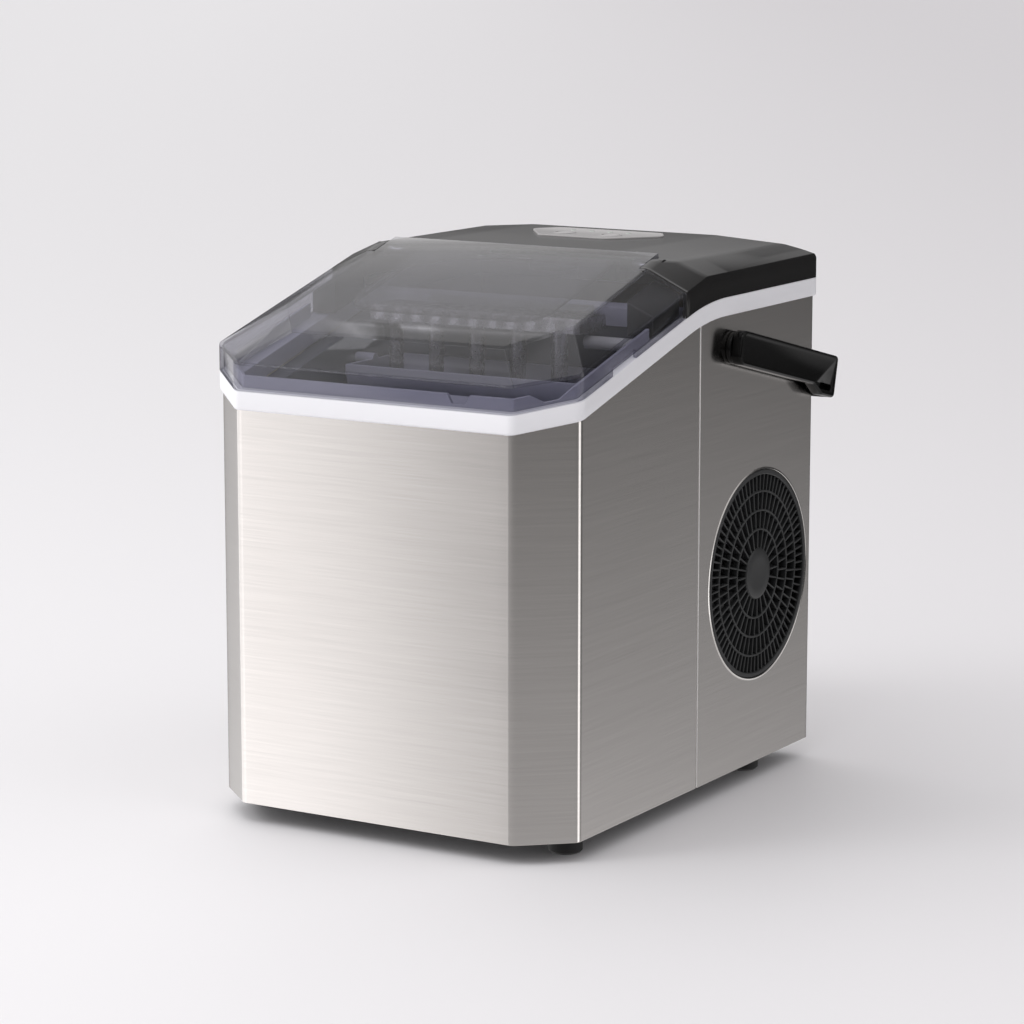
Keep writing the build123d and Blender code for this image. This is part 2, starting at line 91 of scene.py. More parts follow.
def rounded(corners, arc_steps, run_steps):
    """A closed outline of (x, y, radius) corners, with arcs at the corners and run_steps[i] steps from
    corner i to the next."""
    arcs = []
    for i, (x, y, radius) in enumerate(corners):
        here = Vector((x, y))
        before = (Vector(corners[i - 1][:2]) - here).normalized()
        after = (Vector(corners[(i + 1) % len(corners)][:2]) - here).normalized()
        half = before.angle(after) / 2
        centre = here + (before + after).normalized() * radius / math.sin(half)
        start = here + before * radius / math.tan(half) - centre
        finish = here + after * radius / math.tan(half) - centre
        turn = start.angle_signed(finish)
        arc = []
        for step in range(arc_steps + 1):
            spin = Matrix.Rotation(-turn * step / arc_steps, 2)
            arc.append(centre + spin @ start)
        arcs.append(arc)
    points = []
    for i, arc in enumerate(arcs):
        points.extend(arc)
        goal = arcs[(i + 1) % len(arcs)][0]
        for step in range(1, run_steps[i]):
            points.append(arc[-1].lerp(goal, step / run_steps[i]))
    return points


def outline(grow, side_steps=1, front_steps=1):
    """The body's plan with chamfered front corners, anticlockwise from the front left."""
    angle = math.atan2(CHAMFER_Y, CHAMFER_X)
    x_front = HALF_W - CHAMFER_X + grow * math.tan(angle / 2)
    y_side = -HALF_D + CHAMFER_Y - grow * math.tan((math.pi / 2 - angle) / 2)
    x_out = HALF_W + grow
    y_out = HALF_D + grow
    front_r = max(FRONT_CORNER_R + grow, 1.0)
    rear_r = max(REAR_CORNER_R + grow, 1.0)
    corners = [(-x_front, -y_out, front_r), (x_front, -y_out, front_r), (x_out, y_side, front_r)]
    corners += [(x_out, y_out, rear_r), (-x_out, y_out, rear_r), (-x_out, y_side, front_r)]
    runs = [front_steps, 4 if front_steps > 1 else 1, side_steps, front_steps, side_steps]
    return rounded(corners, ARC_STEPS, runs + [runs[1]])


def top_line(y):
    """Height of the body's top line: a slope, a large arc, then level."""
    slope = math.atan(TOP_SLOPE)
    bend_y = -HALF_D + (REAR_TOP - FRONT_TOP) / TOP_SLOPE
    tangent = BEND_R * math.tan(slope / 2)
    if y <= bend_y - tangent * math.cos(slope):
        return FRONT_TOP + TOP_SLOPE * (y + HALF_D)
    if y >= bend_y + tangent:
        return REAR_TOP
    return REAR_TOP - BEND_R + math.sqrt(BEND_R ** 2 - (y - bend_y - tangent) ** 2)


# ---- mesh helpers ----
def add_piece(name, bm, material, body, nodes=(), sharp=32):
    """Turns a mesh in body millimetres into a piece that rides on a body."""
    bm.transform(TO_ROW)
    bmesh.ops.recalc_face_normals(bm, faces=bm.faces[:])
    limit = math.radians(sharp)
    for face in bm.faces:
        face.smooth = True
    for edge in bm.edges:
        edge.smooth = edge.calc_face_angle(0.0) < limit
    mesh = bpy.data.meshes.new(name)
    bm.to_mesh(mesh)
    bm.free()
    mesh.materials.append(material)
    piece = bpy.data.objects.new(name, mesh)
    bpy.context.scene.collection.objects.link(piece)
    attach(piece, body)
    if nodes:
        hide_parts(*nodes)
    return piece


def modify(piece, kind, **settings):
    """Adds a modifier with its settings."""
    modifier = piece.modifiers.new(kind.title(), kind)
    for key, value in settings.items():
        setattr(modifier, key, value)


def round_edges(piece, width, segments=2, angle=35):
    modify(piece, "BEVEL", width=width * MM, segments=segments, limit_method="ANGLE",
           angle_limit=math.radians(angle), use_clamp_overlap=True)
    modify(piece, "WEIGHTED_NORMAL", keep_sharp=False)


def ring_verts(bm, points):
    return [bm.verts.new(point) for point in points]


def bridge(bm, first, second):
    """Joins two closed rings of vertices with faces."""
    for i in range(len(first)):
        j = (i + 1) % len(first)
        bm.faces.new((first[i], first[j], second[j], second[i]))


def skin(bm, rings, closed_rings=False, caps=True):
    """Joins rings of points one after another into a skin; returns the rings' vertices."""
    made = [ring_verts(bm, ring) for ring in rings]
    for first, second in zip(made, made[1:]):
        bridge(bm, first, second)
    if closed_rings:
        bridge(bm, made[-1], made[0])
    elif caps:
        bm.faces.new(made[0])
        bm.faces.new(made[-1])
    return made


def block(bm, x0, x1, y0, y1, z0, z1):
    """A block between two corners."""
    made = bmesh.ops.create_cube(bm, size=1.0)["verts"]
    centre = Vector(((x0 + x1) / 2, (y0 + y1) / 2, (z0 + z1) / 2))
    size = Vector((x1 - x0, y1 - y0, z1 - z0))
    for vert in made:
        vert.co = Vector(a * b for a, b in zip(vert.co, size)) + centre


def lathe(bm, profile, centre, axis="X", steps=96, closed=True):
    """Turns a profile of (along, radius) points round an axis through centre."""
    rings = []
    for along, radius in profile:
        ring = []
        for step in range(steps):
            angle = 2 * math.pi * step / steps
            a, b = radius * math.cos(angle), radius * math.sin(angle)
            place = (along, a, b) if axis == "X" else (a, b, along)
            ring.append(centre + Vector(place))
        rings.append(ring)
    skin(bm, rings, closed_rings=closed, caps=not closed)


def cut(bm, point, normal, clear=True, fill=True):
    """Cuts the mesh with a plane. With clear, what lies beyond it is removed and the cut closed."""
    geometry = bm.verts[:] + bm.edges[:] + bm.faces[:]
    found = bmesh.ops.bisect_plane(bm, geom=geometry, dist=1e-5, plane_co=point, plane_no=normal,
                                   clear_outer=clear)
    if clear and fill:
        edges = [item for item in found["geom_cut"] if isinstance(item, bmesh.types.BMEdge)]
        bmesh.ops.edgeloop_fill(bm, edges=edges)


def drop_faces(bm, test):
    """Removes the faces whose middle meets a test."""
    gone = [face for face in bm.faces if test(face.calc_center_median())]
    bmesh.ops.delete(bm, geom=gone, context="FACES")


def bevel_creases(bm, low, high, width, segments, above):
    """Rounds the creases whose angle in degrees lies between low and high, above a height."""
    creases = []
    for edge in bm.edges:
        angle = math.degrees(edge.calc_face_angle(0.0))
        if low < angle < high and min(v.co.z for v in edge.verts) > above:
            creases.append(edge)
    bmesh.ops.bevel(bm, geom=creases, offset=width, segments=segments, profile=0.5,
                    affect="EDGES", clamp_overlap=True)


def add_cutter(name, bm):
    """A mesh in body millimetres that only serves to cut another."""
    bm.transform(TO_ROW)
    bmesh.ops.recalc_face_normals(bm, faces=bm.faces[:])
    mesh = bpy.data.meshes.new(name)
    bm.to_mesh(mesh)
    bm.free()
    cutter = bpy.data.objects.new(name, mesh)
    bpy.context.scene.collection.objects.link(cutter)
    return cutter


def apply_modifiers(piece):
    """Turns a piece's modifiers into its mesh."""
    graph = bpy.context.evaluated_depsgraph_get()
    mesh = bpy.data.meshes.new_from_object(piece.evaluated_get(graph))
    piece.modifiers.clear()
    piece.data = mesh


# ---- materials ----
class Nodes:
    """A short way to write a material's node tree."""

    def __init__(self, name):
        self.material = bpy.data.materials.new(name)
        self.material.use_nodes = True
        self.tree = self.material.node_tree
        self.shader = self.tree.nodes["Principled BSDF"]
        self.output = self.tree.nodes["Material Output"]

    def add(self, kind, **settings):
        node = self.tree.nodes.new(kind)
        for key, value in settings.items():
            if key in node.inputs:
                node.inputs[key].default_value = value
            else:
                setattr(node, key, value)
        return node

    def link(self, source, target):
        self.tree.links.new(source, target)

    def noise(self, scale, stretch=(1, 1, 1), detail=3.0):
        place = self.add("ShaderNodeTexCoord")
        mapping = self.add("ShaderNodeMapping", Scale=stretch)
        noise = self.add("ShaderNodeTexNoise", Scale=scale, Detail=detail)
        self.link(place.outputs["Object"], mapping.inputs["Vector"])
        self.link(mapping.outputs["Vector"], noise.inputs["Vector"])
        return noise.outputs["Fac"]

    def spread(self, source, low, high, target):
        """Feeds a 0..1 value, spread between low and high, into a socket."""
        ramp = self.add("ShaderNodeMapRange")
        ramp.inputs["From Min"].default_value = 0.25
        ramp.inputs["From Max"].default_value = 0.75
        ramp.inputs["To Min"].default_value = low
        ramp.inputs["To Max"].default_value = high
        self.link(source, ramp.inputs["Value"])
        self.link(ramp.outputs["Result"], target)

    def tint(self, source, low, high, target):
        """Feeds a colour between low and high into a socket."""
        mix = self.add("ShaderNodeMix", data_type="RGBA")
        mix.inputs[6].default_value = (*low, 1)
        mix.inputs[7].default_value = (*high, 1)
        self.link(source, mix.inputs["Factor"])
        self.link(mix.outputs[2], target)

    def bump(self, source, strength, distance):
        bump = self.add("ShaderNodeBump", Strength=strength, Distance=distance)
        self.link(source, bump.inputs["Height"])
        self.link(bump.outputs["Normal"], self.shader.inputs["Normal"])


def shaded(colour, factor):
    return tuple(min(channel * factor, 1.0) for channel in colour)


def moulded(name, colour, roughness, grain=0.15, grain_scale=1400.0, mottle=0.06, coat=0.0, gloss=0.5):
    """Moulded plastic: a fine moulded grain, faint flow mottling and uneven gloss."""
    nodes = Nodes(name)
    shader = nodes.shader
    flow = nodes.noise(22.0, detail=4.0)
    fine = nodes.noise(grain_scale, detail=2.0)
    nodes.tint(flow, shaded(colour, 1 - mottle), shaded(colour, 1 + mottle), shader.inputs["Base Color"])
    nodes.spread(flow, roughness * 0.9, roughness * 1.12, shader.inputs["Roughness"])
    nodes.bump(fine, grain, 0.00004)
    shader.inputs["Specular IOR Level"].default_value = gloss
    shader.inputs["Coat Weight"].default_value = coat
    shader.inputs["Coat Roughness"].default_value = 0.08
    return nodes.material


def metal(name, colour, roughness, stretch=(1, 1, 1), scale=260.0, grain=0.1):
    """Bare metal with a drawn or plated finish."""
    nodes = Nodes(name)
    shader = nodes.shader
    shader.inputs["Metallic"].default_value = 1.0
    drawn = nodes.noise(scale, stretch, 4.0)
    nodes.tint(drawn, shaded(colour, 0.88), shaded(colour, 1.08), shader.inputs["Base Color"])
    nodes.spread(drawn, roughness * 0.8, roughness * 1.25, shader.inputs["Roughness"])
    nodes.bump(drawn, grain, 0.00005)
    return nodes.material


def brushed_steel():
    """Stainless sheet brushed from side to side: long fine scratches, so that it blurs up and down."""
    nodes = Nodes("brushed_steel")
    shader = nodes.shader
    shader.inputs["Metallic"].default_value = 1.0
    shader.inputs["Anisotropic"].default_value = 0.7
    shader.inputs["Anisotropic Rotation"].default_value = 0.25
    tangent = nodes.add("ShaderNodeTangent", direction_type="RADIAL", axis="Z")
    nodes.link(tangent.outputs["Tangent"], shader.inputs["Tangent"])
    scratches = nodes.noise(1.0, (20, 20, 2200), 4.0)
    bands = nodes.noise(1.0, (7, 7, 420), 3.0)
    cloud = nodes.noise(7.0, (1, 1, 2.5), 2.0)
    both = nodes.add("ShaderNodeMix", data_type="FLOAT")
    both.inputs["Factor"].default_value = 0.35
    nodes.link(scratches, both.inputs[2])
    nodes.link(bands, both.inputs[3])
    nodes.tint(both.outputs[0], (0.49, 0.47, 0.455), (0.65, 0.625, 0.605), shader.inputs["Base Color"])
    nodes.spread(cloud, 0.18, 0.21, shader.inputs["Roughness"])
    nodes.bump(both.outputs[0], 0.10, 0.00002)
    return nodes.material


def smoky_clear(name, tint, edge_tint, shine=0.03, roughness=0.05):
    """Smoky clear plastic: each surface lets tinted light through, less of it at a glancing angle."""
    nodes = Nodes(name)
    shader = nodes.shader
    shader.inputs["Base Color"].default_value = (0.9, 0.9, 0.9, 1)
    shader.inputs["Metallic"].default_value = 1.0
    shader.inputs["Roughness"].default_value = roughness
    facing = nodes.add("ShaderNodeLayerWeight", Blend=0.35)
    mottle = nodes.noise(30.0, detail=2.0)
    wave = nodes.add("ShaderNodeMix", data_type="FLOAT")
    wave.inputs["Factor"].default_value = 0.04
    nodes.link(facing.outputs["Facing"], wave.inputs[2])
    nodes.link(mottle, wave.inputs[3])
    clear = nodes.add("ShaderNodeBsdfTransparent")
    nodes.tint(wave.outputs[0], tint, edge_tint, clear.inputs["Color"])
    nodes.bump(nodes.noise(60.0, detail=1.0), 0.02, 0.0004)
    grazing = nodes.add("ShaderNodeLayerWeight", Blend=0.5)
    power = nodes.add("ShaderNodeMath", operation="POWER")
    power.inputs[1].default_value = 5.0
    nodes.link(grazing.outputs["Facing"], power.inputs[0])
    gloss = nodes.add("ShaderNodeMath", operation="MULTIPLY_ADD")
    gloss.inputs[1].default_value = 0.92
    gloss.inputs[2].default_value = shine
    nodes.link(power.outputs["Value"], gloss.inputs[0])
    mix = nodes.add("ShaderNodeMixShader")
    nodes.link(gloss.outputs["Value"], mix.inputs["Fac"])
    nodes.link(clear.outputs["BSDF"], mix.inputs[1])
    nodes.link(shader.outputs["BSDF"], mix.inputs[2])
    nodes.link(mix.outputs["Shader"], nodes.output.inputs["Surface"])
    return nodes.material


STEEL = brushed_steel()
SMOKE = smoky_clear("smoky_lid", (0.82, 0.82, 0.85), (0.54, 0.54, 0.57))
PANE = smoky_clear("smoky_pane", (0.88, 0.875, 0.88), (0.66, 0.65, 0.66), shine=0.012)
# A darker smoke for the rim round the pane's foot: painted shade for the dark line that the pane's edge
# shows.
PANE_RIM_SHADE = smoky_clear("smoky_rim_painted_shade", (0.40, 0.40, 0.42), (0.25, 0.25, 0.27))
TRIM = moulded("white_trim", (0.83, 0.83, 0.86), 0.34, grain=0.05, mottle=0.015)
COVER = moulded("cover_black", (0.013, 0.0125, 0.0125), 0.24, grain=0.08, grain_scale=2200, gloss=0.36)
HANDLE = moulded("handle_black", (0.004, 0.004, 0.004), 0.16, grain=0.05, gloss=0.15)
GRILLE = moulded("grille_black", (0.022, 0.023, 0.024), 0.45, grain=0.2)
LINER = moulded("liner_lavender", (0.42, 0.42, 0.50), 0.38, grain=0.1)
# The tub's dark grey is painted shade: the tub is made much darker than the pale liner so that the deep
# cavity reads dark.
TUB_PAINTED_SHADE = moulded("tub_grey_painted_shade", (0.055, 0.06, 0.075), 0.42, grain=0.1)
BASKET = moulded("basket_grey", (0.42, 0.43, 0.46), 0.35, grain=0.1)
BLACK_BASE = moulded("base_black", (0.03, 0.03, 0.03), 0.55, grain=0.4)
RUBBER = moulded("rubber_black", (0.018, 0.018, 0.018), 0.75, grain=0.5, grain_scale=900)
PLAQUE = moulded("plaque_silver", (0.36, 0.35, 0.35), 0.33, grain=0.08, mottle=0.02)
BUTTON = moulded("button_grey", (0.40, 0.39, 0.39), 0.38, grain=0.1, mottle=0.02)
LENS = moulded("lens_frosted", (0.72, 0.80, 0.74), 0.15, grain=0.02, coat=0.5)
FOAM = moulded("foam_cream", (0.72, 0.64, 0.42), 0.9, grain=0.9, grain_scale=320, mottle=0.15)
FAN_BLACK = moulded("fan_black", (0.02, 0.02, 0.022), 0.4)
BOARD = moulded("board_green", (0.02, 0.16, 0.07), 0.35, mottle=0.2)
HOSE = moulded("hose_silicone", (0.62, 0.62, 0.60), 0.4)
FLOAT = moulded("float_white", (0.78, 0.78, 0.76), 0.6, grain=0.5)
ENAMEL = moulded("compressor_enamel", (0.015, 0.015, 0.016), 0.32, coat=0.4, grain=0.3, grain_scale=300)
PLATED = metal("nickel_plated", (0.66, 0.64, 0.62), 0.20)
TINNED = metal("tinned_copper", (0.42, 0.41, 0.41), 0.26)
# A pale matt colour for the steel fold in the seam: a painted highlight, not the steel's own colour.
SEAM_HIGHLIGHT = moulded("painted_seam_highlight", (0.80, 0.79, 0.77), 0.4, grain=0.02, mottle=0.02)
ZINC = metal("zinc_plated", (0.50, 0.51, 0.52), 0.38, scale=90)
COPPER = metal("drawn_copper", (0.72, 0.36, 0.22), 0.28, (1, 1, 0.3))
FINS = metal("aluminium_fins", (0.74, 0.75, 0.76), 0.40, (1, 1, 8))
MOTOR = metal("motor_can", (0.46, 0.46, 0.48), 0.36)

NODE_MATERIALS = {
    STEEL: ["rear_wrap"],
    HANDLE: ["handle_grip", "handle_boss_left", "handle_boss_right"],
    BLACK_BASE: ["base_pan", "water_pump", "float_stem", "compressor_relay", "fan_shroud",
                 "hot_gas_valve"],
    RUBBER: ["foot_front_left", "foot_front_right", "foot_rear_left", "foot_rear_right",
             "compressor_mounts", "drain_plug", "cord_gland"],
    BASKET: ["ice_basket"],
    LINER: ["water_tray"],
    BUTTON: ["power_button", "select_button"],
    LENS: ["indicator_lenses"],
    FOAM: ["foam_insulation", "bulkhead"],
    FAN_BLACK: ["fan_rotor"],
    BOARD: ["control_board"],
    HOSE: ["pump_hose", "drain_tube"],
    FLOAT: ["float_ball"],
    ENAMEL: ["compressor"],
    PLATED: ["hinge_pins", "case_screws"],
    TINNED: ["evaporator_fingers"],
    ZINC: ["evaporator_bracket", "fan_bracket"],
    COPPER: ["filter_drier", "liquid_tube", "discharge_tube", "suction_tube", "capillary_tube",
             "hot_gas_tube"],
    FINS: ["condenser"],
    MOTOR: ["tray_motor", "fan_motor"],
}
ROUNDING = {"rear_wrap": 0.25, "handle_boss_left": 0.8, "handle_boss_right": 0.8,
            "ice_basket": 0.4, "water_tray": 0.4, "base_pan": 0.5}


def finish_nodes():
    """Gives the CAD nodes that stay in view their materials, and rounds their edges."""
    for material, names in NODE_MATERIALS.items():
        for name in names:
            node = frame["nodes"][name]
            node.data.materials.clear()
            node.data.materials.append(material)
    for name, width in ROUNDING.items():
        node = frame["nodes"][name]
        modify(node, "WELD", merge_threshold=0.000002)
        modify(node, "DECIMATE", decimate_type="DISSOLVE", angle_limit=math.radians(0.5))
        round_edges(node, width, 3)


# ---- trim ring ----
TRIM_H = 10.6
TRIM_PROFILE = [(-2.9, -10.4), (0.6, -10.6), (1.4, -10.3), (1.85, -9.5), (1.85, -1.0), (1.6, -0.3),
                (0.9, 0.0), (-2.9, 0.0)]


def trim_ring():
    """The white moulded ring between the steel wraps and the top, swept round the plan."""
    bm = bmesh.new()
    rings = []
    for grow, rise in TRIM_PROFILE:
        plan = outline(grow, side_steps=110, front_steps=6)
        rings.append([(p.x, p.y, top_line(p.y) + rise) for p in plan])
    skin(bm, rings, closed_rings=True)
    add_piece("trim_ring", bm, TRIM, "chassis", ["trim_frame"])


# ---- planes of the lid and the cover ----
PLATEAU = ((0, -118, 268), (0, -0.2784, 1))
FRONT_BEVEL = ((0, -146.4, 251), (0, -0.6426, 1))


def lid_planes():
    planes = [PLATEAU, FRONT_BEVEL]
    for side in (-1, 1):
        planes.append(((side * 112.8, -55, 274.5), (side * 0.462, -TOP_SLOPE, 1)))
        planes.append(((side * 86.3, -146.4, 251), (side * 0.226, -0.456, 1)))
    return planes


def cover_planes():
    planes = [PLATEAU, ((0, 12, 303.2), (0, 0.0108, 1))]
    planes += [((0, 123, 301.9), (0, 0.486, 1)), ((0, 146.4, 287.6), (0, 0.88, 1))]
    for side in (-1, 1):
        planes.append(((side * 60, 12, 303.2), (side * 0.089, 0.0108, 1)))
        planes.append(((side * 112.8, 80, 292.5), (side * 0.424, 0, 1)))
        planes.append(((side * 112.8, -12, 286.2), (side * 0.47, -TOP_SLOPE, 1)))
    return planes


def prism(bm, plan, z0, z1):
    low = [(p.x, p.y, z0) for p in plan]
    high = [(p.x, p.y, z1) for p in plan]
    skin(bm, [low, high])


# ---- lid ----
LID_WALL = 2.2
LID_REAR = -12.6
EAR_X = 83.9
LID_GAP = 0.3
LID_END = 9.2
GRIP_SLOT = (-91.0, -66.0, 4.5)


def lid_shell():
    """The smoky lid: a faceted shell with rounded creases, notched round the hinge."""
    bm = bmesh.new()
    prism(bm, outline(SHELL_PROUD), 150, 330)
    for point, normal in lid_planes():
        cut(bm, point, normal)
    bevel_creases(bm, 3, 89, 1.6, 5, 200)
    bottom = (0, -HALF_D, FRONT_TOP + LID_GAP)
    slope = (0, TOP_SLOPE, -1)
    cut(bm, bottom, slope, fill=False)
    slot_front, slot_rear, slot_rise = GRIP_SLOT
    above = (0, -HALF_D, FRONT_TOP + slot_rise)
    cut(bm, (0, LID_END, 0), (0, 1, 0), fill=False)
    for point, normal in [((EAR_X, 0, 0), (1, 0, 0)), ((-EAR_X, 0, 0), (1, 0, 0)),
                          ((0, LID_REAR, 0), (0, 1, 0)), ((0, slot_front, 0), (0, 1, 0)),
                          ((0, slot_rear, 0), (0, 1, 0)), (above, slope)]:
        cut(bm, point, normal, clear=False)
    drop_faces(bm, lambda c: abs(c.x) > EAR_X and c.y > LID_REAR)
    drop_faces(bm, lambda c: abs(c.x) > 100 and slot_front < c.y < slot_rear
               and c.z < FRONT_TOP + slot_rise + TOP_SLOPE * (c.y + HALF_D))
    shell = add_piece("lid_shell", bm, SMOKE, "lid", ["lid"], sharp=40)
    modify(shell, "SOLIDIFY", thickness=LID_WALL * MM, offset=-1)
    modify(shell, "BEVEL", width=0.35 * MM, segments=2, limit_method="ANGLE",
           angle_limit=math.radians(60))


PANE_FRONT = -78.0
PANE_REAR = 2.0
PANE_X = 61.0
PANE_DROP = 6.0
PANE_CORNER = 15.0


def lid_pane():
    """The second clear pane under the lid's plateau, a shallow pan, and a rim round its foot in a darker
    smoke: painted shade for the dark line along the pane's edge.
    """
    bm = bmesh.new()
    (_, start_y, start_z), (_, fall, _) = PLATEAU

    def plateau(y):
        return start_z - fall * (y - start_y)

    def ring(inset, drop):
        x, front, rear = PANE_X - inset, PANE_FRONT + inset, PANE_REAR - inset
        corners = [(-x, front, PANE_CORNER - inset), (x, front, PANE_CORNER - inset)]
        corners += [(x, rear, 3.0), (-x, rear, 3.0)]
        plan = rounded(corners, 8, [1, 1, 1, 1])
        return [(p.x, p.y, plateau(p.y) - drop) for p in plan]

    rings = [ring(0, 2.3), ring(0, PANE_DROP - 1.0), ring(0.4, PANE_DROP - 0.3), ring(1.2, PANE_DROP)]
    skin(bm, rings)
    add_piece("lid_pane", bm, PANE, "lid", sharp=50)
    rim = bmesh.new()
    edge = [ring(-0.25, PANE_DROP - 1.2), ring(-0.25, PANE_DROP - 0.2), ring(1.2, PANE_DROP + 0.2),
            ring(1.2, PANE_DROP + 0.05), ring(0.1, PANE_DROP - 0.25), ring(0.05, PANE_DROP - 1.2)]
    skin(rim, edge + edge[:1], caps=False)
    bmesh.ops.remove_doubles(rim, verts=rim.verts[:], dist=1e-4)
    add_piece("lid_pane_rim", rim, PANE_RIM_SHADE, "lid", sharp=50)


def lid_hinges():
    """The two clear barrels that turn on the hinge pins, each on a short web."""
    bm = bmesh.new()
    for side in (-1, 1):
        x0, x1 = sorted((side * 72.5, side * 83.4))
        profile = [(x0, 1.56), (x0, 3.0), (x0 + 0.4, 3.4), (x1 - 0.4, 3.4), (x1, 3.0), (x1, 1.56)]
        lathe(bm, profile, Vector((0, HINGE.y, HINGE.z)), steps=32)
        block(bm, x0 + 1, x1 - 1, HINGE.y - 1.2, HINGE.y + 1.2, HINGE.z + 2.6, HINGE.z + 3.4)
    add_piece("lid_hinges", bm, SMOKE, "lid")


# ---- top cover ----
COVER_WALL = 2.4
EAR_FRONT = -11.6
COVER_START = 9.9
SLICE_END = 38.0
SLICE = 2.0


def cover_shell():
    """The black rear cover with its two ears beside the lid; its lower edge follows the top line."""
    bm = bmesh.new()
    prism(bm, outline(SHELL_PROUD), 200, 330)
    for point, normal in cover_planes():
        cut(bm, point, normal)
    bevel_creases(bm, 2, 30, 7.0, 6, 230)
    bevel_creases(bm, 35, 89, 3.0, 5, 230)
    drop_faces(bm, lambda c: c.z < 201)
    cut(bm, (0, EAR_FRONT, 0), (0, -1, 0), fill=False)
    for point, normal in [((EAR_X + 0.6, 0, 0), (1, 0, 0)), ((-EAR_X - 0.6, 0, 0), (1, 0, 0)),
                          ((0, COVER_START, 0), (0, 1, 0))]:
        cut(bm, point, normal, clear=False)
    drop_faces(bm, lambda c: abs(c.x) < EAR_X + 0.6 and c.y < COVER_START)
    y = EAR_FRONT + SLICE
    while y < SLICE_END:
        cut(bm, (0, y, 0), (0, 1, 0), clear=False)
        y += SLICE
    for vert in bm.verts:
        if vert.co.z < 201:
            vert.co.z = top_line(vert.co.y)
    shell = add_piece("cover_shell", bm, COVER, "chassis", ["top_cover"], sharp=40)
    modify(shell, "SOLIDIFY", thickness=COVER_WALL * MM, offset=-1)
    modify(shell, "BEVEL", width=0.35 * MM, segments=2, limit_method="ANGLE",
           angle_limit=math.radians(60))


TONGUE_INNER = 92.0
TONGUE_OUTER = 107.5
TONGUE_FRONT = -40.0


def cover_tongues():
    """The two black blocks that reach forward from the cover's ears under the lid."""
    bm = bmesh.new()
    for side in (-1, 1):
        part = bmesh.new()
        block(part, *sorted((side * TONGUE_INNER, side * TONGUE_OUTER)), TONGUE_FRONT, EAR_FRONT + 2,
              200, 330)
        for point, normal in lid_planes():
            unit = Vector(normal).normalized()
            cut(part, Vector(point) - unit * 4.5, normal)
        cut(part, (0, -HALF_D, FRONT_TOP + 0.2), (0, TOP_SLOPE, -1))
        bevel_creases(part, 20, 100, 1.2, 3, 0)
        mesh = bpy.data.meshes.new("part")
        part.to_mesh(mesh)
        part.free()
        bm.from_mesh(mesh)
        bpy.data.meshes.remove(mesh)
    add_piece("cover_tongues", bm, COVER, "chassis")


def hinge_blocks():
    """The cover's inner knuckles that hold the hinge pins."""
    bm = bmesh.new()
    for side in (-1, 1):
        x0, x1 = sorted((side * 85.2, side * 91))
        profile = [(x0, 1.56), (x0, 3.6), (x0 + 0.4, 4.0), (x1, 4.0), (x1, 1.56)]
        lathe(bm, profile, Vector((0, HINGE.y, HINGE.z)), steps=32)
    add_piece("hinge_blocks", bm, COVER, "chassis")


# ---- control panel ----
def cover_top(y):
    return 303.2 - 0.0108 * (y - 12)


PLAQUE_CORNERS = [(-22, 62), (22, 62), (43, 91), (34, 107), (-34, 107), (-43, 91)]
PLAQUE_R = 7.0
PLAQUE_MIDDLE_Y = 85.0
PLAQUE_HALF_X = 40.0
PLAQUE_HALF_Y = 22.0
BUTTON_Y = 80.0
BUTTON_X = 15.0


def control_plaque():
    """The silver plaque: a thin plate with a rolled edge, and a raised ring round each button."""
    bm = bmesh.new()

    def ring(inset, rise):
        corners = []
        for x, y in PLAQUE_CORNERS:
            near_y = y + (PLAQUE_MIDDLE_Y - y) * inset / PLAQUE_HALF_Y
            corners.append((x * (1 - inset / PLAQUE_HALF_X), near_y, PLAQUE_R - inset))
        return [(p.x, p.y, cover_top(p.y) + rise) for p in rounded(corners, 8, [1] * 6)]

    skin(bm, [ring(0, -0.1), ring(0, 0.45), ring(0.15, 0.7), ring(0.45, 0.8), ring(0.9, 0.78),
              ring(1.3, 0.6)])
    for side in (-1, 1):
        place = Vector((side * BUTTON_X, BUTTON_Y, cover_top(BUTTON_Y)))
        profile = [(0.5, 5.3), (0.8, 5.3), (0.98, 5.5), (0.98, 6.0), (0.8, 6.3), (0.5, 6.3)]
        lathe(bm, profile, place, axis="Z", steps=48)
    add_piece("control_plaque", bm, PLAQUE, "chassis", ["control_panel"])


def button_caps():
    """Domed membrane caps on the two keys."""
    for name, body, side in (("power_button", "power_key", -1), ("select_button", "select_key", 1)):
        bm = bmesh.new()
        place = Vector((side * BUTTON_X, BUTTON_Y, cover_top(BUTTON_Y)))
        profile = [(-5.6, 0.4), (-5.6, 4.9), (0.3, 4.9), (0.7, 4.7), (0.9, 4.2), (0.85, 3.2), (0.75, 2.0),
                   (0.72, 0.4)]
        lathe(bm, profile, place, axis="Z", steps=48, closed=False)
        add_piece(name + "_cap", bm, BUTTON, body, [name])


# ---- side vent ----
VENT_RINGS = (25.0, 35.7, 46.4)
VENT_SPOKES = (24, 36, 52, 76)
HUB_R = 14.4
RIM_INNER = 55.9
RIM_OUTER = 58.6
VENT_FACE = 111.4


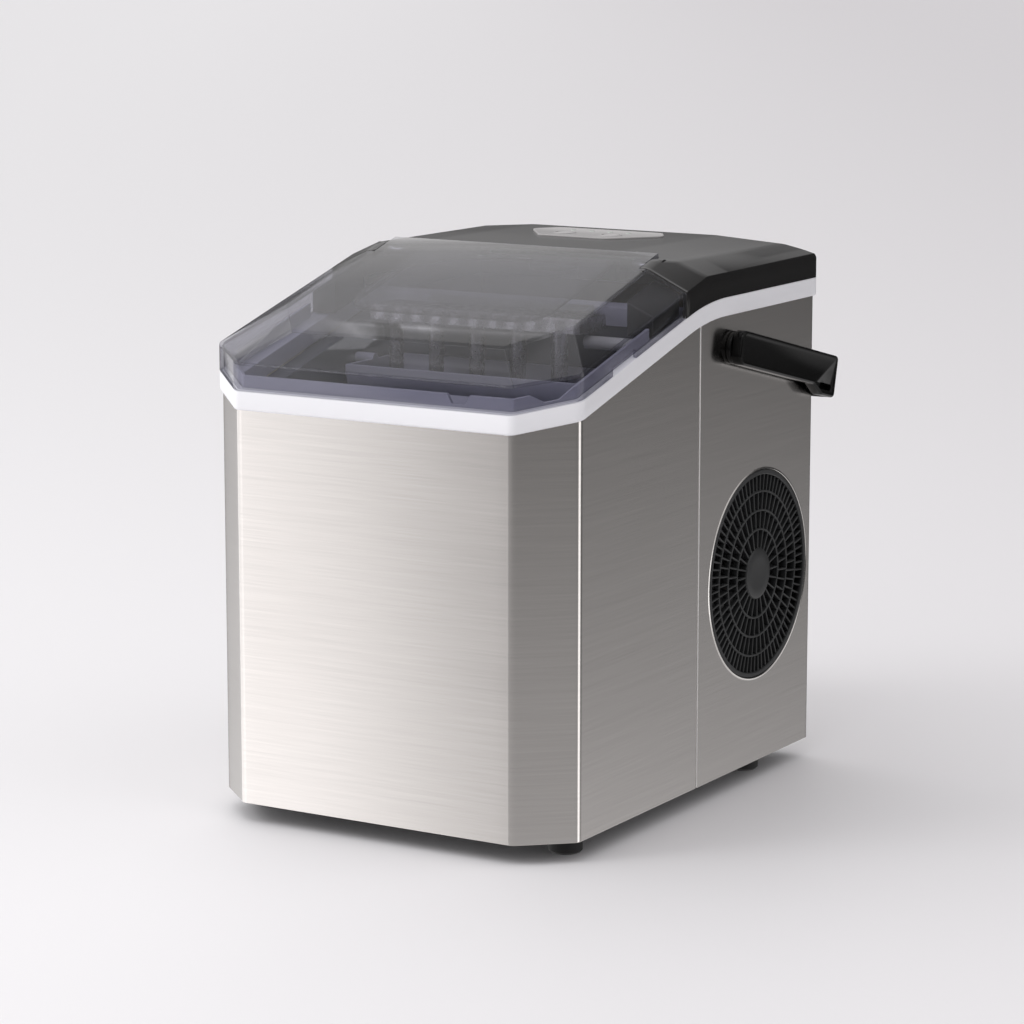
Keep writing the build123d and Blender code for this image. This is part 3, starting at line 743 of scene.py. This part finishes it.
def vent_grille():
    """The round grille: a domed hub, three rings, and more spokes in each ring outwards."""
    bm = bmesh.new()
    centre = Vector((0, FAN.y, FAN.z))
    face = VENT_FACE
    rim = [(106.6, RIM_INNER), (face - 0.5, RIM_INNER), (face, RIM_INNER + 0.5),
           (face, RIM_OUTER - 0.6), (face - 0.6, RIM_OUTER), (106.6, RIM_OUTER)]
    lathe(bm, rim, centre, steps=128)
    flange = [(106.4, RIM_INNER), (109.6, RIM_INNER), (109.6, 60.3), (106.4, 60.3)]
    lathe(bm, flange, centre, steps=128)
    for radius in VENT_RINGS:
        ring = [(107.4, radius - 0.6), (face - 0.9, radius - 0.6), (face - 0.55, radius - 0.3),
                (face - 0.55, radius + 0.3), (face - 0.9, radius + 0.6), (107.4, radius + 0.6)]
        lathe(bm, ring, centre, steps=96)
    hub = [(107.0, 0.5), (107.0, HUB_R), (face - 1.0, HUB_R), (face - 0.3, HUB_R - 0.5),
           (face, HUB_R - 1.6), (face - 0.15, HUB_R * 0.6), (face - 0.3, HUB_R * 0.3), (face - 0.35, 0.5)]
    lathe(bm, hub, centre, steps=64, closed=False)
    edges = (HUB_R - 0.4, *VENT_RINGS, RIM_INNER + 0.4)
    for zone, count in enumerate(VENT_SPOKES):
        inner, outer = edges[zone], edges[zone + 1]
        for spoke in range(count):
            turn = Matrix.Rotation(2 * math.pi * (spoke + 0.5 * (zone % 2)) / count, 4, "X")
            bar = []
            for x, half in ((107.6, 0.5), (face - 1.0, 0.5), (face - 0.7, 0.22)):
                bar.append([(x, inner, -half), (x, outer, -half), (x, outer, half), (x, inner, half)])
            made = skin(bm, bar)
            for vert in [v for ring in made for v in ring]:
                vert.co = centre + turn @ vert.co
    add_piece("side_grille", bm, GRILLE, "chassis", ["vent_grille"])


def vent_lip():
    """The rolled steel edge round the vent hole."""
    bm = bmesh.new()
    centre = Vector((0, FAN.y, FAN.z))
    profile = [(HALF_W - 0.75, 58.9), (HALF_W + 0.15, 58.95), (HALF_W + 0.45, 59.2), (HALF_W + 0.4, 59.6),
               (HALF_W + 0.1, 60.1), (HALF_W - 0.75, 60.1)]
    lathe(bm, profile, centre, steps=160)
    add_piece("vent_lip", bm, PLATED, "chassis")


# ---- steel front ----
SEAM_Y = 8.0
SHEET = 0.8
HEM = 5.0
FOLD_R = 1.0


def front_sheet():
    """The front steel sheet: one bent strip with round corners, folded inwards at its two ends."""
    bm = bmesh.new()
    edge = SEAM_Y - 0.4
    plan = [p for p in outline(0, side_steps=60, front_steps=20) if p.y < edge - 2 * FOLD_R]
    start = max(range(len(plan)), key=lambda i: (plan[i].x < 0, plan[i].y))
    path = plan[start:] + plan[:start]
    for side in (-1, 1):
        fold = []
        for step in range(9):
            angle = math.pi / 2 * step / 8
            x = side * (HALF_W - FOLD_R + FOLD_R * math.cos(angle))
            fold.append(Vector((x, edge - FOLD_R + FOLD_R * math.sin(angle))))
        fold.append(Vector((side * (HALF_W - HEM), edge)))
        path = fold[::-1] + path if side < 0 else path + fold
    rings = []
    low = node_box("front_wrap")[0].z
    for i, p in enumerate(path):
        along = path[min(i + 1, len(path) - 1)] - path[max(i - 1, 0)]
        out = Vector((along.y, -along.x)).normalized()
        top = top_line(p.y) - TRIM_H
        q, r = p - out * SHEET, p - out * 0.25
        rings.append([(r.x, r.y, low), (p.x, p.y, low + 0.3), (p.x, p.y, top), (q.x, q.y, top),
                      (q.x, q.y, low)])
    skin(bm, rings)
    sheet = add_piece("front_sheet", bm, STEEL, "chassis", ["front_wrap"], sharp=40)
    modify(sheet, "WEIGHTED_NORMAL", keep_sharp=True)


def seam_bead():
    """The front sheet's folded edge that shows in the seam on each side, in a pale matt colour: a painted
    highlight for the glint on the steel fold.
    """
    bm = bmesh.new()
    section = [(-0.7, -0.38), (0.02, -0.38), (0.12, 0), (0.02, 0.3), (-0.7, 0.3)]
    low = node_box("front_wrap")[0].z + 0.4
    top = top_line(SEAM_Y) - TRIM_H
    for side in (-1, 1):
        skin(bm, [[(side * (HALF_W + out), SEAM_Y + back, z) for out, back in section] for z in (low, top)])
    add_piece("seam_bead", bm, SEAM_HIGHLIGHT, "chassis")


# ---- carrying handle ----
PIVOT = joint_place("handle_pivot")
HANDLE_TILT = -13.6
HANDLE_TOP = 9.5
HANDLE_HEEL = -14.5
HANDLE_FRONT = -7.5
GRIP_OUTER = 114.3
ARM_IN = 114.1
ARM_OUT = 120.5


def handle_frame():
    """From the handle's own axes, along the arm and up, to the body's."""
    return Matrix.Translation(PIVOT) @ Matrix.Rotation(math.radians(HANDLE_TILT), 4, "X")


def handle_arms():
    """Each arm is a shell with rounded edges that grows a heel, with a slot in it, at the grip."""
    place = handle_frame()
    for name, side in (("left", -1), ("right", 1)):
        bm = bmesh.new()

        def ring(inset, x):
            front, top, rear = HANDLE_FRONT + inset, HANDLE_TOP - inset, GRIP_OUTER - inset
            corners = [(front, top, 5.5 - inset), (front, -top, 5.5 - inset), (86.3, -top, 6.0)]
            corners += [(98.3, HANDLE_HEEL + inset, 4.0), (rear, HANDLE_HEEL + inset, 2.6 - inset)]
            corners += [(rear, top, 2.6 - inset)]
            plan = rounded(corners, 8, [1] * 6)
            return [place @ Vector((side * x, p.x, p.y)) for p in plan]

        inner, outer = ARM_IN, ARM_OUT
        skin(bm, [ring(0.5, inner), ring(0.1, inner + 0.2), ring(0, inner + 0.6), ring(0, outer - 1.3),
                  ring(0.2, outer - 0.6), ring(0.6, outer - 0.15), ring(1.3, outer), ring(2.0, outer - 0.25)])
        arm = add_piece("handle_arm_" + name + "_shell", bm, HANDLE, "handle",
                        ["handle_arm_" + name], sharp=50)
        slot = bmesh.new()
        plan = rounded([(93.5, -7.5, 1.8), (93.5, -11.2, 1.8), (108.5, -11.2, 1.8), (108.5, -7.5, 1.8)],
                       6, [1] * 4)
        skin(slot, [[place @ Vector((side * x, p.x, p.y)) for p in plan] for x in (inner + 2, outer + 2)])
        cutter = add_cutter("handle_slot_" + name, slot)
        modify(arm, "BOOLEAN", object=cutter, operation="DIFFERENCE", solver="EXACT")
        apply_modifiers(arm)
        bpy.data.objects.remove(cutter)


def handle_bar():
    """The grip between the arms: a bar hollowed from below."""
    place = handle_frame()
    bm = bmesh.new()
    low, high = 108.3, GRIP_OUTER
    corners = [(low, HANDLE_TOP, 2.5), (low, HANDLE_HEEL, 1.2), (low + 1.4, HANDLE_HEEL, 0.3),
               (low + 1.4, -5.5, 0.8), (high - 1.4, -5.5, 0.8), (high - 1.4, HANDLE_HEEL, 0.3),
               (high, HANDLE_HEEL, 1.2), (high, HANDLE_TOP, 2.5)]
    plan = rounded(corners, 6, [1] * 8)
    rings = []
    for x in (-ARM_IN + 0.05, -76, 76, ARM_IN - 0.05):
        rings.append([place @ Vector((x, p.x, p.y)) for p in plan])
    skin(bm, rings)
    add_piece("handle_bar", bm, HANDLE, "handle", ["handle_grip"], sharp=50)


# ---- cold compartment ----
OPENING_X = 97.0
OPENING_FRONT = -125.0
OPENING_REAR = -1.0
TUB_X = 84.0
TUB_FRONT = -124.0
TUB_REAR = 0.0
TUB_FLOOR = 62.0
LIP_RISE = 6.5
LIP_END = -41.0
NOTCH_RISE = 1.5
DECK_END = 7.0


def liner_deck():
    """The pale deck round the opening, inside the lid's walls; its raised lip is made by liner_lip."""
    bm = bmesh.new()

    def plan(grow, rise):
        kept = []
        for p in outline(grow, side_steps=110, front_steps=24):
            y = min(p.y, DECK_END)
            kept.append((p.x, y, top_line(y) + rise))
        return kept

    def hole(inset, rise):
        points = outline(-5.3, side_steps=110, front_steps=24)
        made = []
        for p in points:
            x = max(-OPENING_X + inset, min(OPENING_X - inset, p.x * 1.02))
            y = max(OPENING_FRONT + inset, min(OPENING_REAR - inset, p.y))
            made.append((x, y, top_line(y) + rise))
        return made

    skin(bm, [plan(-3.3, -4.0), plan(-3.3, -1.0), plan(-5.3, -1.0), hole(-1.2, -1.0), hole(-0.4, -1.3),
              hole(0, -2.2), hole(0, -11.2)], caps=False)
    bmesh.ops.remove_doubles(bm, verts=bm.verts[:], dist=1e-3)
    add_piece("liner_deck", bm, LINER, "chassis")


LIP_NOTCHES = [((45, -150), (57, -130)), ((95, -150), (103, -100))]


def liner_lip():
    """The lip that stands on the deck, notched beside the pouring corner."""
    bm = bmesh.new()
    outer = outline(-3.3, side_steps=110, front_steps=60)
    inner = outline(-5.3, side_steps=110, front_steps=60)

    def rise(p):
        for (x0, y0), (x1, y1) in LIP_NOTCHES:
            if x0 < p.x < x1 and y0 < p.y < y1:
                return NOTCH_RISE
        return LIP_RISE

    count = len(outer)
    keep = [i for i in range(count) if outer[i].y < LIP_END]
    start = max(keep, key=lambda i: (outer[i].x < 0, outer[i].y))
    order = [(start + step) % count for step in range(len(keep))]
    rings = []
    for i in order:
        a, b = outer[i], inner[i]
        low, high = top_line(a.y) - 1.5, top_line(a.y) + rise(a)
        rings.append([(a.x, a.y, low), (a.x, a.y, high), (b.x, b.y, high), (b.x, b.y, low)])
    skin(bm, rings)
    lip = add_piece("liner_lip", bm, LINER, "chassis")
    round_edges(lip, 0.4, 2)


def liner_tub():
    """The cold compartment's tub: rounded corners, a flat floor and a flange under the deck; its dark colour
    is painted shade for the deep cavity.
    """
    bm = bmesh.new()

    def ring(grow, z_of):
        x, front, rear = TUB_X + grow, TUB_FRONT - grow, TUB_REAR + grow
        corners = [(-x, front, 9 + grow), (x, front, 9 + grow), (x, rear, 8 + grow), (-x, rear, 8 + grow)]
        points = rounded(corners, 8, [1, 24, 1, 24])
        return [(p.x, p.y, z_of(p.y)) for p in points]

    rings = [ring(11.0, lambda y: top_line(y) - 10.6), ring(0.6, lambda y: top_line(y) - 11.4),
             ring(0, lambda y: top_line(y) - 13.0), ring(0, lambda y: TUB_FLOOR + 5),
             ring(-1.5, lambda y: TUB_FLOOR + 1.5), ring(-5, lambda y: TUB_FLOOR)]
    rings[0] = [(max(-98, min(98, x)), max(-126, min(1.0, y)), z) for x, y, z in rings[0]]
    made = skin(bm, rings, caps=False)
    bm.faces.new(made[-1])
    tub = add_piece("liner_tub", bm, TUB_PAINTED_SHADE, "chassis", ["inner_liner"])
    modify(tub, "SOLIDIFY", thickness=1.6 * MM, offset=-1)


def tub_ledges():
    """The two ledges that the basket stands on, in the tub's dark painted-shade colour."""
    bm = bmesh.new()
    for side in (-1, 1):
        block(bm, *sorted((side * 74, side * 84)), -108, -62, 110, 118)
    ledges = add_piece("tub_ledges", bm, TUB_PAINTED_SHADE, "chassis")
    round_edges(ledges, 0.8, 2)


# ---- evaporator ----
def evaporator_body():
    """The tinned evaporator: a flat tank with a wavy rim over the fingers."""
    bm = bmesh.new()
    low, high = node_box("evaporator")
    length = high.x - low.x
    steps = 88
    sections = []
    for step in range(steps + 1):
        x = low.x + length * step / steps
        wave = 0.45 * math.sin(2 * math.pi * step / 8)
        y0, y1, z0, z1 = low.y, high.y, low.z, high.z
        sections.append([(x, y0 + 0.7 + wave * 0.5, z0), (x, y0 + 0.7 + wave, z0 + 3),
                         (x, y0 + 1.2 + wave, z1 - 1.0), (x, y0 + 2.4, z1), (x, y1 - 2.4, z1),
                         (x, y1 - 1.2 - wave, z1 - 1.0), (x, y1 - 0.7 - wave, z0 + 3),
                         (x, y1 - 0.7 - wave * 0.5, z0)])
    skin(bm, sections)
    add_piece("evaporator_body", bm, TINNED, "chassis", ["evaporator"])


# ---- light, floor and camera ----
FLOOR_HALF = 60.0
EYE_PLACE = Vector((1001.2, -1673.3, 512.8))
EYE_AIM = Vector((-0.50584, 0.84360, -0.18018))
EYE_LENS = 125.68


def floor():
    bm = bmesh.new()
    corners = [(-1, -1), (1, -1), (1, 1), (-1, 1)]
    bm.faces.new([bm.verts.new((x * FLOOR_HALF, y * FLOOR_HALF, 0)) for x, y in corners])
    mesh = bpy.data.meshes.new("floor")
    bm.to_mesh(mesh)
    bm.free()
    # The floor's colour darkens from 0.87 to 0.72 towards the right and back: painted shade for the light
    # falling off away from the left window.
    nodes = Nodes("floor_paper_painted_falloff")
    nodes.shader.inputs["Roughness"].default_value = 0.55
    nodes.shader.inputs["Specular IOR Level"].default_value = 0.25
    place = nodes.add("ShaderNodeTexCoord")
    across = nodes.add("ShaderNodeVectorMath", operation="DOT_PRODUCT")
    across.inputs[1].default_value = (0.858, 0.514, 0)
    nodes.link(place.outputs["Object"], across.inputs[0])
    ramp = nodes.add("ShaderNodeMapRange", interpolation_type="SMOOTHSTEP")
    ramp.inputs["From Min"].default_value = -1.2
    ramp.inputs["From Max"].default_value = 1.4
    nodes.link(across.outputs["Value"], ramp.inputs["Value"])
    nodes.tint(ramp.outputs["Result"], (0.87, 0.865, 0.88), (0.72, 0.705, 0.725),
               nodes.shader.inputs["Base Color"])
    mesh.materials.append(nodes.material)
    sheet = bpy.data.objects.new("floor", mesh)
    sheet.visible_glossy = False
    bpy.context.scene.collection.objects.link(sheet)


def studio_world():
    """A soft studio: a wide window on the left, soft light overhead, and fainter glows elsewhere."""
    world = bpy.data.worlds.new("studio")
    bpy.context.scene.world = world
    world.use_nodes = True
    tree = world.node_tree
    sky = tree.nodes["Background"]
    place = tree.nodes.new("ShaderNodeTexCoord")

    def glow(direction, start, end, amount):
        """Light that grows from start to end as the view turns towards a direction."""
        dot = tree.nodes.new("ShaderNodeVectorMath")
        dot.operation = "DOT_PRODUCT"
        dot.inputs[1].default_value = Vector(direction).normalized()
        tree.links.new(place.outputs["Generated"], dot.inputs[0])
        ramp = tree.nodes.new("ShaderNodeMapRange")
        ramp.interpolation_type = "SMOOTHSTEP"
        ramp.inputs["From Min"].default_value = start
        ramp.inputs["From Max"].default_value = end
        ramp.inputs["To Max"].default_value = amount
        tree.links.new(dot.outputs["Value"], ramp.inputs["Value"])
        return ramp.outputs["Result"]

    overhead = glow((-0.3, -0.5, 0.81), 0.25, 0.95, 1.0)
    left_window = glow((-0.95, -0.25, -0.2), 0.729, 0.766, 1.45)
    right_strip = glow((0.955, 0.24, -0.18), 0.955, 0.995, 1.7)
    behind_left = glow((-0.55, 0.55, 0.62), 0.75, 0.97, 0.95)
    high_right = glow((0.8, 0.2, 0.6), 0.68, 0.95, 0.8)
    table = glow((0.03, -0.05, -1), 0.19, 0.33, 0.66)
    behind_low = glow((0.46, 0.86, -0.35), 0.965, 0.993, 0.32)
    parts = [overhead, left_window, right_strip, behind_left, high_right, table, behind_low]
    total = parts[0]
    for part in parts[1:]:
        add = tree.nodes.new("ShaderNodeMath")
        tree.links.new(total, add.inputs[0])
        tree.links.new(part, add.inputs[1])
        total = add.outputs["Value"]
    base = tree.nodes.new("ShaderNodeMath")
    base.inputs[1].default_value = 0.06
    tree.links.new(total, base.inputs[0])
    tree.links.new(base.outputs["Value"], sky.inputs["Strength"])
    sky.inputs["Color"].default_value = (1.0, 0.985, 0.99, 1)


def softbox(name, place, target, size, power):
    light = bpy.data.lights.new(name, "AREA")
    light.shape = "RECTANGLE"
    light.size, light.size_y = size
    light.energy = power
    lamp = bpy.data.objects.new(name, light)
    lamp.location = place
    lamp.rotation_euler = (Vector(target) - Vector(place)).to_track_quat("-Z", "Y").to_euler()
    lamp.visible_camera = False
    bpy.context.scene.collection.objects.link(lamp)


def lights():
    studio_world()
    softbox("key_left", (-1.35, -1.6, 1.85), (0, 0, 0.2), (0.9, 0.9), 12)
    softbox("top_front", (0.1, -1.1, 2.3), (0, 0, 0.2), (1.6, 0.5), 6)


def camera():
    data = bpy.data.cameras.new("camera")
    data.lens = EYE_LENS
    data.sensor_width = 36
    data.clip_end = 300
    eye = bpy.data.objects.new("camera", data)
    eye.location = TO_ROW @ EYE_PLACE
    eye.rotation_euler = EYE_AIM.to_track_quat("-Z", "Y").to_euler()
    bpy.context.scene.collection.objects.link(eye)
    bpy.context.scene.camera = eye


camera()
floor()
lights()
bpy.context.scene.view_settings.view_transform = "Standard"
finish_nodes()
trim_ring()
lid_shell()
lid_pane()
lid_hinges()
cover_shell()
cover_tongues()
hinge_blocks()
control_plaque()
button_caps()
vent_grille()
vent_lip()
front_sheet()
seam_bead()
handle_arms()
handle_bar()
liner_deck()
liner_lip()
liner_tub()
tub_ledges()
evaporator_body()
